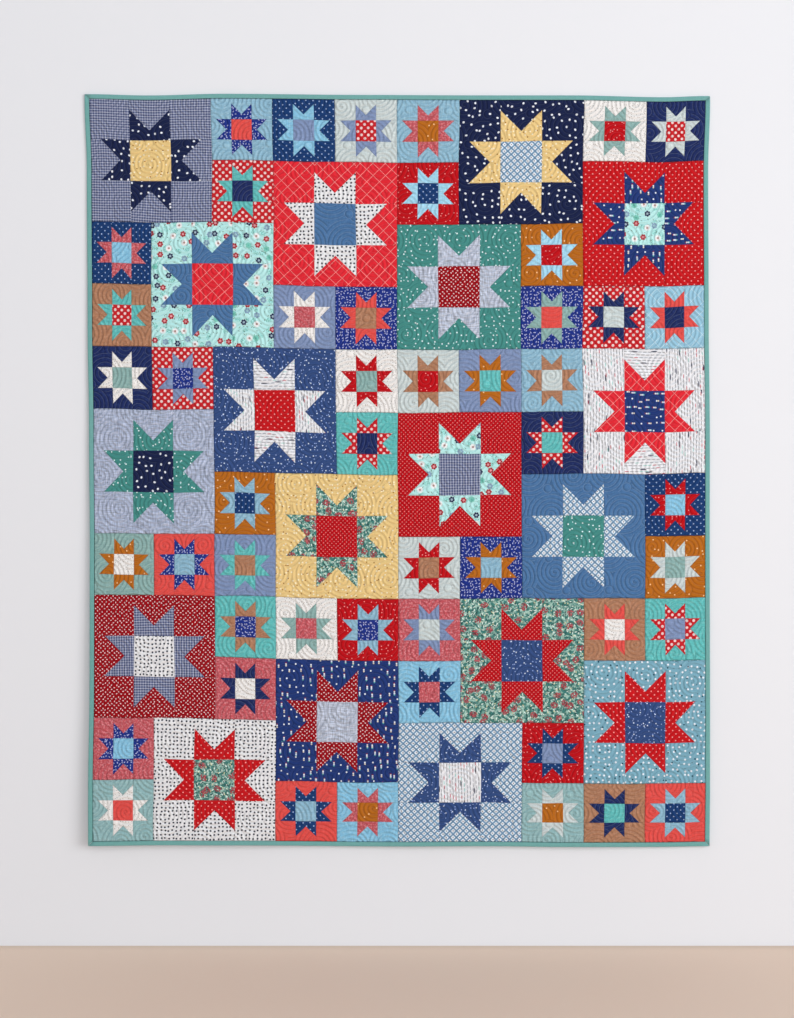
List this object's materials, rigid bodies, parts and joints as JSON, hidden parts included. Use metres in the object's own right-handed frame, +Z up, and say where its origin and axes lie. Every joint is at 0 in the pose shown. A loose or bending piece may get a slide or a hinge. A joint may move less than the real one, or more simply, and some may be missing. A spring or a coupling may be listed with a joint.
{
  "type": "star quilt blanket",
  "caption": "Throw-size patchwork quilt of large and small star blocks with a narrow folded binding, hung flat by its top edge with the lower left corner standing off the wall.",
  "frame": {"origin": "middle of the top edge, on the back of the binding, where it lies against the wall", "axes": "+Z up along the quilt's height, the pieced front faces -Y, +X to the viewer's right"},
  "size_m": [1.5552, 0.0363, 1.8708],
  "materials": {
    "patchwork": "quilted printed cotton, matt",
    "binding": "plain woven cotton, matt"
  },
  "bodies": {
    "root": {"quilted_layers": "patchwork", "binding_top": "binding", "binding_bottom": "binding", "binding_left": "binding", "binding_right": "binding"}
  },
  "joints": []
}
